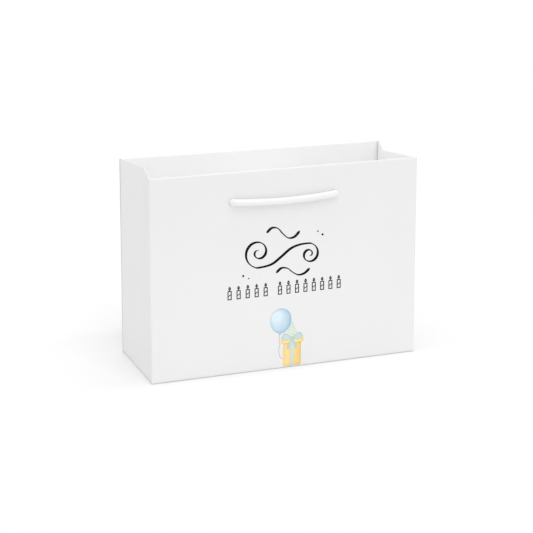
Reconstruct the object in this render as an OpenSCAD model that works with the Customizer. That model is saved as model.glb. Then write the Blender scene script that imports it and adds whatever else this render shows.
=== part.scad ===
// Paper gift bag with rope handles. The origin is the middle of the base, +Z is up, and the front panel faces -Y.

/* [Bag] */
// Width of the front and back panels
bag_w = 250; // [200:1:320]
// Height from the base to the rim
bag_h = 180; // [140:1:240]
// Depth of the base, front to back
base_d = 90; // [70:1:120]
// How far each panel leans in at the rim, where the folded gussets draw the panels together
rim_lean = 4; // [1:0.5:12]
// How far each gusset's foot triangle leans in at its tip
foot_push = 5; // [2:0.5:8]

/* [Paper and board] */
// Thickness of the bag paper
paper_t = 0.4; // [0.3:0.05:0.6]
// Thickness of the stiffening boards under the rim
board_t = 1; // [0.6:0.1:1.6]
// Height of the stiffening boards
board_h = 34; // [26:1:36]
// Height of the paper that is turned in over the boards
turn_in_h = 40; // [38:1:50]
// Thickness of the loose card in the base
card_t = 1.2; // [0.8:0.1:2]
// Width of the glued flap behind the side seam
seam_w = 18; // [10:1:25]
// How far the two long base flaps lap over each other
base_lap = 16; // [10:1:24]
// Reach of the short base flaps under the card
side_flap = 45; // [30:1:60]

/* [Handles] */
// Diameter of the rope
cord_d = 6; // [4:0.5:7]
// Distance between a handle's two holes
hole_spacing = 96; // [80:1:140]
// How far a handle sits off the middle of its panel, to the right as seen from outside
handle_shift = -3.5; // [-8:0.5:8]
// Depth of the holes' centres below the rim
hole_drop = 25.5; // [20:0.5:28]
// How far the outer stretch of rope sags in its middle
cord_sag = 2; // [1:0.5:6]
// Height of the middle of each knot above the base
knot_height = 44.5; // [40:0.5:60]
// Diameter of a knot
knot_d = 14; // [10:0.5:16]
// Height of a knot
knot_h = 15; // [10:0.5:18]
// Length of the cut end below a knot
knot_end = 5; // [2:0.5:8]
// Radius of the rope's turn from its hole down into the bag
tail_turn = 5; // [4:0.5:6]

/* [Clearances] */
// Gap between the rope and the rim of its hole
hole_gap = 0.5; // [0.3:0.1:1]
// Gap left at a crease between panels that move apart
crease_gap = 0.3; // [0.3:0.05:0.5]
// Gap between the rope and the face of the bag
cord_gap = 0.4; // [0.3:0.1:1]
// Gap between the edge of the loose card and the bag, at the sides, the front and the back
card_gap = 3.5; // [3:0.5:8]
// How far the boards and turn-ins stop short of the panel's side edges
rim_inset = 2.5; // [2:0.5:5]

/* [Hidden] */
$fn = 64;

paper = "white";
inner_paper = "whitesmoke";
grey_board = "gainsboro";
rope = "snow";

half_w = bag_w / 2;
half_d = base_d / 2;
mouth_half_d = half_d - rim_lean;
lean = asin(rim_lean / bag_h);
rim_z = bag_h * cos(lean);
// A gusset half keeps the width of half the base, so a narrower mouth folds its crease in
mouth_push = sqrt(half_d ^ 2 - mouth_half_d ^ 2);
// Where a part that stays put may start, inside the inner face of a panel that leans
wall_clear = paper_t + crease_gap;
wall_stack = paper_t + board_t + paper_t;

flap_edge_y = half_d - wall_clear;
flap_edge_x = half_w - wall_clear;
long_flap_inner_x = half_w - half_d;
card_z = 3 * paper_t;
seam_z = card_z + 2 * crease_gap;
card_x = half_w - card_gap;
card_y = half_d - card_gap;

cord_r = cord_d / 2;
hole_d = cord_d + 2 * hole_gap;
hole_x = hole_spacing / 2;
hole_z = bag_h - hole_drop;
tail_drop = hole_z - knot_height;
// The rope hangs just far enough in for the knot to pass the turn-in
tail_y = wall_stack + crease_gap + knot_d / 2;
cord_sides = 12;
// The outer and inner stretches of rope meet in the middle of the wall's thickness, a gap apart
grip_end_y = (wall_stack - crease_gap) / 2;
tail_start_y = (wall_stack + crease_gap) / 2;

// Rope routes, seen from the front with y running into the bag from the panel's outer face
grip_y = -(cord_r + cord_gap);
grip_turn = cord_r + 0.1;
grip_x = hole_x - grip_turn;
grip_out_route = [for (a = [0 : 22.5 : 67.5])
    [grip_x + grip_turn * cos(a), grip_y + grip_turn * (1 - sin(a)), hole_z]];
grip_bar_route = [for (k = [0 : 8])
    let (u = 1 - k / 4) [grip_x * u, grip_y, hole_z - cord_sag * (1 - u ^ 2)]];
grip_back_route = [for (k = [3 : -1 : 0])
    let (p = grip_out_route[k]) [-p[0], p[1], p[2]]];
grip_route = concat([[hole_x, grip_end_y, hole_z]], grip_out_route, grip_bar_route, grip_back_route,
    [[-hole_x, grip_end_y, hole_z]]);

tail_top_route = [[0, tail_start_y, 0], [0, tail_y - tail_turn, 0]];
tail_turn_route = [for (a = [22.5 : 22.5 : 90])
    [0, tail_y - tail_turn * (1 - sin(a)), -tail_turn * (1 - cos(a))]];
tail_hang_route = [for (k = [1 : 8])
    [0, tail_y, -tail_turn - (tail_drop - tail_turn - knot_h / 2) * k / 8]];
tail_route = concat(tail_top_route, tail_turn_route, tail_hang_route);

function unit(v) = v / norm(v);
function heading(route, i) = unit(route[min(i + 1, len(route) - 1)] - route[max(i - 1, 0)]);
function ring(centre, ahead, across, r, n) =
    let (side = unit(cross(ahead, across)), up = cross(side, ahead))
    [for (k = [0 : n - 1]) centre + r * (cos(360 * k / n) * side + sin(360 * k / n) * up)];

// A round tube along a route that lies about square to the direction across
module tube(route, r, across) {
    n = cord_sides;
    last = len(route) - 1;
    points = [for (i = [0 : last]) each ring(route[i], heading(route, i), across, r, n)];
    sides = [for (i = [0 : last - 1], k = [0 : n - 1])
        let (a = i * n + k, b = i * n + (k + 1) % n) each [[a, b, b + n], [a, b + n, a + n]]];
    start_cap = [for (k = [n - 1 : -1 : 0]) k];
    end_cap = [for (k = [0 : n - 1]) last * n + k];
    polyhedron(points = points, faces = concat([start_cap], sides, [end_cap]), convexity = 4);
}

// A sheet with four corners, flat in two triangles either side of the line from corner 0 to corner 2
module sheet4(corners, sweep) {
    polyhedron(points = concat(corners, [for (c = corners) c + sweep]), convexity = 2, faces = [
        [0, 2, 1], [0, 3, 2], [4, 5, 6], [4, 6, 7],
        [0, 1, 5, 4], [1, 2, 6, 5], [2, 3, 7, 6], [3, 0, 4, 7]]);
}

// A sheet with three corners
module sheet3(corners, sweep) {
    polyhedron(points = concat(corners, [for (c = corners) c + sweep]), convexity = 2, faces = [
        [0, 2, 1], [3, 4, 5], [0, 1, 4, 3], [1, 2, 5, 4], [2, 0, 3, 5]]);
}

// Stands children, drawn with y running in from the outer face, on the front or the back of the base
module on_front() {
    translate([0, -half_d, 0]) rotate([-lean, 0, 0]) children();
}
module on_back() {
    rotate([0, 0, 180]) on_front() children();
}
module on_left() {
    mirror([1, 0, 0]) children();
}
module behind() {
    mirror([0, 1, 0]) children();
}

// A slab of the panel's own shape, between two depths and two heights
module panel_slab(width, y0, y1, z0, z1) {
    translate([-width / 2, y0, z0]) cube([width, y1 - y0, z1 - z0]);
}
module cord_holes() {
    for (side = [-1, 1])
        translate([handle_shift + side * hole_x, -1, hole_z]) rotate([-90, 0, 0])
            cylinder(d = hole_d, h = wall_stack + 2);
}
module wall_panel() {
    difference() {
        panel_slab(bag_w, 0, paper_t, crease_gap, bag_h);
        cord_holes();
    }
}
module wall_board() {
    difference() {
        panel_slab(bag_w - 2 * rim_inset, paper_t, paper_t + board_t, bag_h - board_h, bag_h - paper_t);
        cord_holes();
    }
}
// The rim's paper folds over the board and down behind it, and its foot steps back to the panel
module wall_turn_in() {
    difference() {
        union() {
            panel_slab(bag_w - 2 * rim_inset, paper_t + board_t, wall_stack, bag_h - turn_in_h, bag_h);
            panel_slab(bag_w - 2 * rim_inset, paper_t, wall_stack, bag_h - paper_t, bag_h);
            panel_slab(bag_w - 2 * rim_inset, paper_t, paper_t + board_t,
                bag_h - turn_in_h, bag_h - board_h);
        }
        cord_holes();
    }
}
module wall_seam() {
    translate([half_w - wall_clear - seam_w, paper_t, seam_z])
        cube([seam_w, paper_t, bag_h - turn_in_h - seam_z]);
}

// The right gusset's front half, from its corner crease to its middle crease
foot_tip = [half_w - foot_push, 0, half_d];
gusset_corner = [half_w, -flap_edge_y, crease_gap];
gusset_rim = [half_w, -(mouth_half_d - wall_clear), rim_z];
gusset_crease = [half_w - mouth_push, 0, rim_z];
inward = [-paper_t, 0, 0];

module gusset_half() {
    sheet4([gusset_corner, foot_tip, gusset_crease, gusset_rim], inward);
}
module gusset_foot() {
    sheet3([gusset_corner, [half_w, flap_edge_y, crease_gap], foot_tip], inward);
}
module gusset_turn_in() {
    intersection() {
        translate(inward) {
            gusset_half();
            behind() gusset_half();
        }
        translate([0, -half_d, rim_z - turn_in_h]) cube([half_w, base_d, turn_in_h]);
    }
}

module long_flap(reach) {
    polygon([[-flap_edge_x, -flap_edge_y], [flap_edge_x, -flap_edge_y],
        [long_flap_inner_x, 0], [long_flap_inner_x, reach],
        [-long_flap_inner_x, reach], [-long_flap_inner_x, 0]]);
}
module short_flap() {
    taper = side_flap / 3;
    polygon([[flap_edge_x, -flap_edge_y], [flap_edge_x, flap_edge_y],
        [flap_edge_x - side_flap, flap_edge_y - taper], [flap_edge_x - side_flap, taper - flap_edge_y]]);
}

module handle_grip() {
    translate([handle_shift, 0, 0]) tube(grip_route, cord_r, [0, 0, 1]);
}
module handle_tails() {
    for (side = [-1, 1])
        translate([handle_shift + side * hole_x, 0, hole_z]) tube(tail_route, cord_r, [1, 0, 0]);
}
// A pulled knot with a short cut end below it
module handle_knots() {
    for (side = [-1, 1])
        translate([handle_shift + side * hole_x, tail_y, knot_height]) rotate_extrude() {
            intersection() {
                scale([1, knot_h / knot_d]) circle(d = knot_d);
                translate([0, -knot_h / 2]) square([knot_d / 2, knot_h]);
            }
            translate([0, knot_h / 2 - 1]) square([cord_r, 1]);
            translate([0, -knot_h / 2 - knot_end]) square([cord_r, knot_end + 1]);
        }
}

module front_panel() { color(paper) on_front() wall_panel(); }
module back_panel() { color(paper) on_back() wall_panel(); }
module seam_flap() { color(inner_paper) on_back() wall_seam(); }
module right_gusset_front() { color(paper) gusset_half(); }
module right_gusset_rear() { color(paper) behind() gusset_half(); }
module right_gusset_foot() { color(paper) gusset_foot(); }
module left_gusset_front() { color(paper) on_left() gusset_half(); }
module left_gusset_rear() { color(paper) on_left() behind() gusset_half(); }
module left_gusset_foot() { color(paper) on_left() gusset_foot(); }
module base_front_flap() {
    color(paper) linear_extrude(paper_t) long_flap(base_lap / 2);
}
// Lies beside the front flap, steps up over its edge and laps over it
module base_rear_flap() {
    color(paper) behind() {
        linear_extrude(paper_t) long_flap(-base_lap / 2);
        translate([0, 0, paper_t]) linear_extrude(paper_t) intersection() {
            long_flap(base_lap / 2);
            translate([-half_w, -base_lap / 2 - paper_t]) square([bag_w, base_lap + paper_t]);
        }
    }
}
module base_right_flap() {
    color(inner_paper) translate([0, 0, 2 * paper_t]) linear_extrude(paper_t) short_flap();
}
module base_left_flap() {
    color(inner_paper) on_left() translate([0, 0, 2 * paper_t]) linear_extrude(paper_t) short_flap();
}
module front_turn_in() { color(inner_paper) on_front() wall_turn_in(); }
module back_turn_in() { color(inner_paper) on_back() wall_turn_in(); }
module right_turn_in() { color(inner_paper) gusset_turn_in(); }
module left_turn_in() { color(inner_paper) on_left() gusset_turn_in(); }
module front_board() { color(grey_board) on_front() wall_board(); }
module back_board() { color(grey_board) on_back() wall_board(); }
module base_card() {
    color(grey_board) translate([-card_x, -card_y, card_z]) cube([2 * card_x, 2 * card_y, card_t]);
}
module front_cord_grip() { color(rope) on_front() handle_grip(); }
module front_cord_tails() { color(rope) on_front() handle_tails(); }
module front_knots() { color(rope) on_front() handle_knots(); }
module back_cord_grip() { color(rope) on_back() handle_grip(); }
module back_cord_tails() { color(rope) on_back() handle_tails(); }
module back_knots() { color(rope) on_back() handle_knots(); }

front_panel();
back_panel();
seam_flap();
left_gusset_front();
left_gusset_rear();
left_gusset_foot();
right_gusset_front();
right_gusset_rear();
right_gusset_foot();
base_front_flap();
base_rear_flap();
base_left_flap();
base_right_flap();
front_turn_in();
back_turn_in();
left_turn_in();
right_turn_in();
front_board();
back_board();
base_card();
front_cord_grip();
front_cord_tails();
front_knots();
back_cord_grip();
back_cord_tails();
back_knots();
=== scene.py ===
"""A white paper gift bag with rope handles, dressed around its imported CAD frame.

The frame gives the sizes: the CAD nodes' boxes set where the paper, the ropes and the loose card lie.
Each sub-assembly is a class that builds its own meshes, and each finish is a class that builds one material.
"""

from __future__ import annotations

import logging
import math
from dataclasses import dataclass
from enum import Enum
from typing import Callable, Iterable, Sequence

import bmesh
import bpy
import numpy as np
from mathutils import Matrix, Vector


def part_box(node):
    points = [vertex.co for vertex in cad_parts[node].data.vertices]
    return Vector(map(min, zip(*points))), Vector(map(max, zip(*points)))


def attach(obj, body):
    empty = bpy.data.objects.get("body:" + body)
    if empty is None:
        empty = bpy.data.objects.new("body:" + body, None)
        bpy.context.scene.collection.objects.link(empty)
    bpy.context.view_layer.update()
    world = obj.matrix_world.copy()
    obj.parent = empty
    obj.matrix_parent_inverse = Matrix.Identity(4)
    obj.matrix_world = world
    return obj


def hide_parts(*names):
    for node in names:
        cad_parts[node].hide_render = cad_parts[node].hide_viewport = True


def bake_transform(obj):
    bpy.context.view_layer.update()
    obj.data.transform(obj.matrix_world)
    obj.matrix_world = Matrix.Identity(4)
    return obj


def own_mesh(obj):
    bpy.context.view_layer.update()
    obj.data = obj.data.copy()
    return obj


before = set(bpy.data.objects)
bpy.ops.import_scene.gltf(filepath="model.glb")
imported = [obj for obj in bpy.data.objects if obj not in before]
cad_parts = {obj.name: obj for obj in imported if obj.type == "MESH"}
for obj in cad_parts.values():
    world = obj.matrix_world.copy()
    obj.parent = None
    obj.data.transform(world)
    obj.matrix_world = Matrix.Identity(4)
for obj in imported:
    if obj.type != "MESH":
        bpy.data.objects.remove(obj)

LOG = logging.getLogger("gift_bag")
MM = 0.001
MERGE_GAP = 1e-7
PUNCH_REACH = 12 * MM
PUNCH_R = 3.15 * MM
BOARD_PUNCH_R = 3.6 * MM
Colour = tuple[float, float, float]
Point2 = tuple[float, float]
Face = tuple[int, ...]
Tone = Callable[[float, float, float], float]
Nib = Callable[[float, float], float]


class Side(Enum):
    """A side of the bag, with the sign of its outward direction."""

    @property
    def title(self) -> str:
        """The name that this side's nodes and bodies start with."""
        return self.name.lower()


class Wall(Side):
    """One of the two wide panels, with the sign of its outward Y."""

    FRONT = -1
    BACK = 1

    @property
    def body(self) -> str:
        """The CAD body that this wall's paper rides on."""
        return f"{self.title}_wall"

    @property
    def side(self) -> str:
        """The word for this wall's side in the names of the gusset halves and the base flaps."""
        return "front" if self is Wall.FRONT else "rear"


class End(Side):
    """One of the two gusseted ends, with the sign of its outward X."""

    LEFT = -1
    RIGHT = 1


def srgb(red: int, green: int, blue: int) -> Colour:
    """A display colour from 0 to 255, as linear light."""

    def linear(value: float) -> float:
        """One channel, from display to linear light."""
        value /= 255
        return value / 12.92 if value <= 0.04045 else ((value + 0.055) / 1.055) ** 2.4

    return (linear(red), linear(green), linear(blue))


def ease(value: np.ndarray | float, low: float, high: float) -> np.ndarray | float:
    """A smooth step from 0 at low to 1 at high."""
    t = np.clip((value - low) / (high - low), 0, 1)
    return t * t * (3 - 2 * t)


# ---------------------------------------------------------------- sizes and shape of the paper


@dataclass(frozen=True)
class BagForm:
    """Sizes of the bag, and the faces that its creased paper takes up when it stands open.

    Args:
        half_w: half the width of the panels.
        half_d: half the depth of the base.
        height: height of the rim.
        paper: thickness of the paper.
        board: thickness of the stiffening board.
        board_h: height of the board.
        turn_in: height of the turned-in rim.
        crease_r: outer radius of an upright crease.
        foot_r: outer radius of the crease round the base.
        foot_push: inward lean of a gusset's foot at its tip.
        edge_inset: distance from a corner over which the board's thickness fades in.
        crease_soft: rounding of a gusset's middle crease.
        base_inset: how far the base's flaps stay inside its edges.
    """

    half_w: float
    half_d: float
    height: float
    paper: float = 0.4 * MM
    board: float = 1.0 * MM
    board_h: float = 34 * MM
    turn_in: float = 40 * MM
    crease_r: float = 1.1 * MM
    foot_r: float = 2.0 * MM
    foot_push: float = 5 * MM
    edge_inset: float = 2.5 * MM
    crease_soft: float = 0.8 * MM
    base_inset: float = 2.15 * MM

    # How far each wall leans in at the rim, at its left and right end, and how far each gusset folds in there
    RIM_LEAN = {Wall.FRONT: (2.2 * MM, 7.6 * MM), Wall.BACK: (0.5 * MM, 3.6 * MM)}
    RIM_FOLD = {End.LEFT: 8.8 * MM, End.RIGHT: 15.2 * MM}

    @classmethod
    def from_frame(cls) -> "BagForm":
        """Reads the sizes off the CAD nodes."""
        low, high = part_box("front_panel")
        return cls(half_w=high.x, half_d=-low.y, height=high.z)

    @property
    def stack(self) -> float:
        """Thickness of panel, board and turn-in together."""
        return 2 * self.paper + self.board

    def foot_roll(self, z: np.ndarray) -> np.ndarray:
        """How far a face rolls inwards at a height, towards the crease round the base."""
        past = np.clip(self.foot_r - z, 0, self.foot_r)
        return self.foot_r - np.sqrt(self.foot_r**2 - past**2)

    def wall_depth(self, wall: Wall, x: np.ndarray | float, z: np.ndarray | float) -> np.ndarray | float:
        """Distance from the bag's middle plane to a wall's outer face, corner rounding left out.

        Args:
            wall: the wall.
            x: place along the width.
            z: height.

        Returns:
            The distance, always positive.
        """
        left, right = self.RIM_LEAN[wall]
        across = np.clip((x + self.half_w) / (2 * self.half_w), 0, 1)
        up = np.clip(z / self.height, 0, 1)
        lean = (left + (right - left) * across) * up
        bow = 0.55 * MM * np.sin(math.pi * across) * np.sin(math.pi * up)
        ripple = 0.10 * MM * np.sin(x / (31 * MM) + 2.0 * up) * np.sin(math.pi * across) * up
        return self.half_d - lean + bow + ripple

    def gusset_fold(self, end: End, y: np.ndarray, z: np.ndarray) -> np.ndarray:
        """How far a gusset's outer face lies inside the flat end of the bag.

        Args:
            end: the gusset's end.
            y: place across the gusset.
            z: height.

        Returns:
            The inward distance.
        """
        foot_h = self.half_d
        soft_y = np.sqrt(y**2 + self.crease_soft**2) - self.crease_soft * 0.4
        depth = np.where(
            y < 0,
            self.wall_depth(Wall.FRONT, end.value * self.half_w, z),
            self.wall_depth(Wall.BACK, end.value * self.half_w, z),
        )
        share = np.clip((depth - soft_y) / depth, 0, 1)
        middle = self.foot_push + (self.RIM_FOLD[end] - self.foot_push) * np.clip(
            (z - foot_h) / (self.height - foot_h), 0, 1
        )
        above = middle * share
        level, slant = z / foot_h, share
        below = self.foot_push * (level + slant - np.sqrt((level - slant) ** 2 + 0.0012)) / 2
        mix = ease(z, foot_h - 1.5 * MM, foot_h + 1.5 * MM)
        return np.maximum(below, 0) * (1 - mix) + above * mix + self.foot_roll(z)


# ---------------------------------------------------------------- mesh helpers


def linked(name: str, points: Sequence, edges: Sequence = (), faces: Sequence = ()) -> bpy.types.Object:
    """Makes a mesh object in the scene.

    Args:
        name: the object's name.
        points: the vertices.
        edges: vertex indices of each loose edge.
        faces: vertex indices of each face.

    Returns:
        The linked object.
    """
    mesh = bpy.data.meshes.new(name)
    mesh.from_pydata([tuple(p) for p in points], list(edges), [tuple(f) for f in faces])
    piece = bpy.data.objects.new(name, mesh)
    bpy.context.scene.collection.objects.link(piece)
    return piece


def cleaned(mesh: bpy.types.Mesh, merge: bool = True) -> None:
    """Turns a mesh's faces outwards, and merges the points that lie together."""
    tidy = bmesh.new()
    tidy.from_mesh(mesh)
    if merge:
        bmesh.ops.remove_doubles(tidy, verts=tidy.verts, dist=MERGE_GAP)
    bmesh.ops.recalc_face_normals(tidy, faces=tidy.faces)
    tidy.to_mesh(mesh)
    tidy.free()


def smoothed(mesh: bpy.types.Mesh, sharp_deg: float) -> None:
    """Smooths a mesh, except over the edges that turn by more than an angle."""
    mesh.shade_smooth()
    mesh.set_sharp_from_angle(angle=math.radians(sharp_deg))


def applied(piece: bpy.types.Object) -> bpy.types.Object:
    """Turns a piece's modifiers into plain mesh and removes them."""
    bpy.context.view_layer.update()
    graph = bpy.context.evaluated_depsgraph_get()
    mesh = bpy.data.meshes.new_from_object(
        piece.evaluated_get(graph), preserve_all_data_layers=True, depsgraph=graph
    )
    piece.modifiers.clear()
    piece.data = mesh
    return piece


def drop(*pieces: bpy.types.Object) -> None:
    """Deletes helper objects."""
    for piece in pieces:
        bpy.data.objects.remove(piece, do_unlink=True)


def paint(piece: bpy.types.Object, material: bpy.types.Material) -> None:
    """Gives a piece one material."""
    piece.data.materials.clear()
    piece.data.materials.append(material)


def line_inside(piece: bpy.types.Object, outward: Vector, material: bpy.types.Material) -> None:
    """Gives a second finish to the faces that look away from a direction.

    Args:
        piece: a sheet that has its first finish.
        outward: direction out of the bag.
        material: the finish of the inner face.
    """
    piece.data.materials.append(material)
    for face in piece.data.polygons:
        if face.normal.dot(outward) < -0.3:
            face.material_index = 1


def sheet_solid(name: str, outer: np.ndarray, inner: np.ndarray) -> bpy.types.Object:
    """Closes two matching grids of points into one solid sheet.

    Args:
        name: the object's name.
        outer: points of the outer face, as columns by rows by 3.
        inner: points of the inner face, in the same order.

    Returns:
        The sheet.
    """
    columns, rows = outer.shape[:2]
    count = columns * rows

    def at(c: int, r: int, side: int) -> int:
        """Index of a grid point on the outer (0) or inner (1) face."""
        return side * count + c * rows + r

    faces = []
    for c in range(columns - 1):
        for r in range(rows - 1):
            faces.append((at(c, r, 0), at(c + 1, r, 0), at(c + 1, r + 1, 0), at(c, r + 1, 0)))
            faces.append((at(c, r, 1), at(c, r + 1, 1), at(c + 1, r + 1, 1), at(c + 1, r, 1)))
        for r in (0, rows - 1):
            faces.append((at(c, r, 0), at(c + 1, r, 0), at(c + 1, r, 1), at(c, r, 1)))
    for r in range(rows - 1):
        for c in (0, columns - 1):
            faces.append((at(c, r, 0), at(c, r + 1, 0), at(c, r + 1, 1), at(c, r, 1)))
    piece = linked(name, np.concatenate([outer.reshape(-1, 3), inner.reshape(-1, 3)]), faces=faces)
    cleaned(piece.data)
    smoothed(piece.data, 40)
    return piece


def rim_rows(form: BagForm) -> np.ndarray:
    """Heights of the rows of a wall or gusset, closer together at the foot, the turn-in and the rim."""
    foot = np.array([0, 0.05, 0.15, 0.35, 0.65, 1.05, 1.5, 2.0]) * MM
    body = np.arange(3.6, (form.height - form.turn_in) / MM - 1, 2.4) * MM
    turn = form.height - form.turn_in + np.array([-0.5, -0.1, 0.25, 0.7, 2, 3.5, 5, 6.5]) * MM
    top = np.linspace(form.height - 31 * MM, form.height - 1.6 * MM, 13)
    return np.concatenate([foot, body, turn, top])


def rounded_top(rows: int = 5) -> np.ndarray:
    """Angles of the rows that roll the paper over the rim."""
    return np.radians(np.linspace(0, 82, rows))


def bore(piece: bpy.types.Object, places: Iterable[Vector], radius: float) -> None:
    """Punches round holes along Y.

    Args:
        piece: the sheet.
        places: centres of the holes.
        radius: their radius.
    """
    for place in places:
        bpy.ops.mesh.primitive_cylinder_add(
            vertices=40, radius=radius, depth=PUNCH_REACH, location=place, rotation=(math.pi / 2, 0, 0)
        )
        punch = bpy.context.object
        cut = piece.modifiers.new("punch", "BOOLEAN")
        cut.operation, cut.object, cut.solver = "DIFFERENCE", punch, "EXACT"
        applied(piece)
        drop(punch)


# ---------------------------------------------------------------- shader helpers and shared effects


class Shader:
    """A small helper that adds and links nodes in one node tree."""

    def __init__(self, tree: bpy.types.NodeTree) -> None:
        """Keeps the tree that the nodes go in."""
        self.tree = tree

    def add(self, kind: str, values: dict | None = None, **settings: object) -> bpy.types.Node:
        """Adds a node.

        Args:
            kind: the node's type name.
            values: plain values, or sockets to link from, by input name or index.
            settings: the node's own properties.

        Returns:
            The new node.
        """
        node = self.tree.nodes.new(kind)
        for key, value in settings.items():
            setattr(node, key, value)
        for key, value in (values or {}).items():
            if isinstance(value, bpy.types.NodeSocket):
                self.tree.links.new(value, node.inputs[key])
            else:
                node.inputs[key].default_value = value
        return node

    def math(
        self, operation: str, first: object, second: object = 0.0, clamp: bool = False
    ) -> bpy.types.NodeSocket:
        """Adds a Math node and gives its result, kept from 0 to 1 if asked."""
        node = self.add("ShaderNodeMath", {0: first, 1: second}, operation=operation, use_clamp=clamp)
        return node.outputs[0]

    def mix(self, factor: object, first: object, second: object) -> bpy.types.NodeSocket:
        """Adds a colour mix and gives its result."""
        node = self.add("ShaderNodeMix", {"Factor": factor}, data_type="RGBA")
        for socket, value in ((node.inputs[6], first), (node.inputs[7], second)):
            if isinstance(value, bpy.types.NodeSocket):
                self.tree.links.new(value, socket)
            else:
                socket.default_value = (*value, 1)
        return node.outputs[2]


def preset(node: bpy.types.Node, values: dict) -> None:
    """Sets inputs of a node to plain numbers or colours, by name."""
    for title, value in values.items():
        node.inputs[title].default_value = (*value, 1) if isinstance(value, tuple) else value


def geometry_tree(name: str, kinds: dict[str, str]) -> tuple[bpy.types.NodeTree, dict[str, str]]:
    """Starts a Geometry Nodes tree that takes and gives geometry.

    Args:
        name: the tree's name.
        kinds: kind of each further named input, such as Float.

    Returns:
        The tree, and the identifier of each further input.
    """
    tree = bpy.data.node_groups.new(name, "GeometryNodeTree")
    face = tree.interface
    face.new_socket("Geometry", in_out="INPUT", socket_type="NodeSocketGeometry")
    face.new_socket("Geometry", in_out="OUTPUT", socket_type="NodeSocketGeometry")
    sockets = {}
    for title, kind in kinds.items():
        sockets[title] = face.new_socket(title, in_out="INPUT", socket_type=f"NodeSocket{kind}").identifier
    return tree, sockets


def grown(piece: bpy.types.Object, tree: bpy.types.NodeTree, values: dict[str, object]) -> bpy.types.Object:
    """Runs a tree on a piece and keeps its result as plain mesh.

    Args:
        piece: the points or route that the tree works on.
        tree: the tree.
        values: value of each input, by its identifier.

    Returns:
        The piece.
    """
    modifier = piece.modifiers.new(tree.name, "NODES")
    modifier.node_group = tree
    for identifier, value in values.items():
        modifier[identifier] = value
    return applied(piece)


def shader_group(
    name: str, inputs: dict, outputs: dict
) -> tuple[bpy.types.NodeTree, Shader, bpy.types.Node, bpy.types.Node]:
    """Starts a shader node group.

    Args:
        name: the group's name.
        inputs: default value of each named input, a number or a colour.
        outputs: socket type of each named output.

    Returns:
        The tree, its helper, its input node and its output node.
    """
    tree = bpy.data.node_groups.new(name, "ShaderNodeTree")
    for title, value in inputs.items():
        kind = "NodeSocketColor" if isinstance(value, tuple) else "NodeSocketFloat"
        socket = tree.interface.new_socket(title, in_out="INPUT", socket_type=kind)
        socket.default_value = (*value, 1) if isinstance(value, tuple) else value
    for title, kind in outputs.items():
        tree.interface.new_socket(title, in_out="OUTPUT", socket_type=kind)
    shader = Shader(tree)
    return tree, shader, shader.add("NodeGroupInput"), shader.add("NodeGroupOutput")


class SharedEffects:
    """Node groups that more than one finish uses, each built once."""

    def __init__(self) -> None:
        """Builds the groups."""
        self.grain = self._grain()
        self.pigment = self._pigment()

    @staticmethod
    def _grain() -> bpy.types.NodeTree:
        """Paper grain: a tinted colour, a height for bump and a roughness that vary over the sheet."""
        tree, s, given, out = shader_group(
            "paper grain",
            {"Tint": (0.9, 0.9, 0.9), "Fibre Tint": (0.8, 0.8, 0.8), "Fibre Scale": 900.0,
             "Cloud Scale": 16.0, "Fleck": 0.1, "Roughness": 0.5},
            {"Color": "NodeSocketColor", "Height": "NodeSocketFloat", "Roughness": "NodeSocketFloat"},
        )
        place = s.add("ShaderNodeTexCoord").outputs["Object"]
        fibre = s.add("ShaderNodeTexNoise", {"Vector": place, "Scale": given.outputs["Fibre Scale"],
                                             "Detail": 4.0, "Roughness": 0.65, "Distortion": 0.6})
        cloud = s.add("ShaderNodeTexNoise", {"Vector": place, "Scale": given.outputs["Cloud Scale"],
                                             "Detail": 3.0, "Roughness": 0.5})
        fibred = s.math("SUBTRACT", fibre.outputs["Fac"], 0.35)
        fleck = s.math("MULTIPLY", fibred, given.outputs["Fleck"])
        clouded = s.math("MULTIPLY", s.math("SUBTRACT", cloud.outputs["Fac"], 0.5), 0.12)
        share = s.math("ADD", fleck, clouded)
        colour = s.mix(share, given.outputs["Tint"], given.outputs["Fibre Tint"])
        s.tree.links.new(colour, out.inputs["Color"])
        s.tree.links.new(fibre.outputs["Fac"], out.inputs["Height"])
        rough = s.math("ADD", given.outputs["Roughness"], s.math("MULTIPLY", clouded, 1.2))
        s.tree.links.new(rough, out.inputs["Roughness"])
        return tree

    @staticmethod
    def _pigment() -> bpy.types.NodeTree:
        """Watercolour pigment: pale in the middle of a wash, darker where it settled at the rim."""
        tree, s, given, out = shader_group(
            "pigment wash",
            {"Pale": (0.9, 0.9, 0.9), "Deep": (0.5, 0.5, 0.5), "Tone": 0.0, "Bloom": 0.35, "Scale": 190.0},
            {"Color": "NodeSocketColor"},
        )
        place = s.add("ShaderNodeTexCoord").outputs["Object"]
        bloom = s.add("ShaderNodeTexNoise", {"Vector": place, "Scale": given.outputs["Scale"],
                                             "Detail": 5.0, "Roughness": 0.6, "Distortion": 1.2})
        swing = s.math("MULTIPLY", s.math("SUBTRACT", bloom.outputs["Fac"], 0.5), given.outputs["Bloom"])
        tone = s.math("ADD", given.outputs["Tone"], swing, clamp=True)
        colour = s.mix(tone, given.outputs["Pale"], given.outputs["Deep"])
        s.tree.links.new(colour, out.inputs["Color"])
        return tree


def new_material(name: str, colour: Colour) -> tuple[bpy.types.Material, Shader, bpy.types.Node]:
    """Starts a material with its Principled BSDF.

    Args:
        name: the material's name.
        colour: its display colour in solid views.

    Returns:
        The material, a helper for its nodes and the shader node.
    """
    material = bpy.data.materials.new(name)
    material.use_nodes = True
    material.diffuse_color = (*colour, 1)
    return material, Shader(material.node_tree), material.node_tree.nodes["Principled BSDF"]


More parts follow.
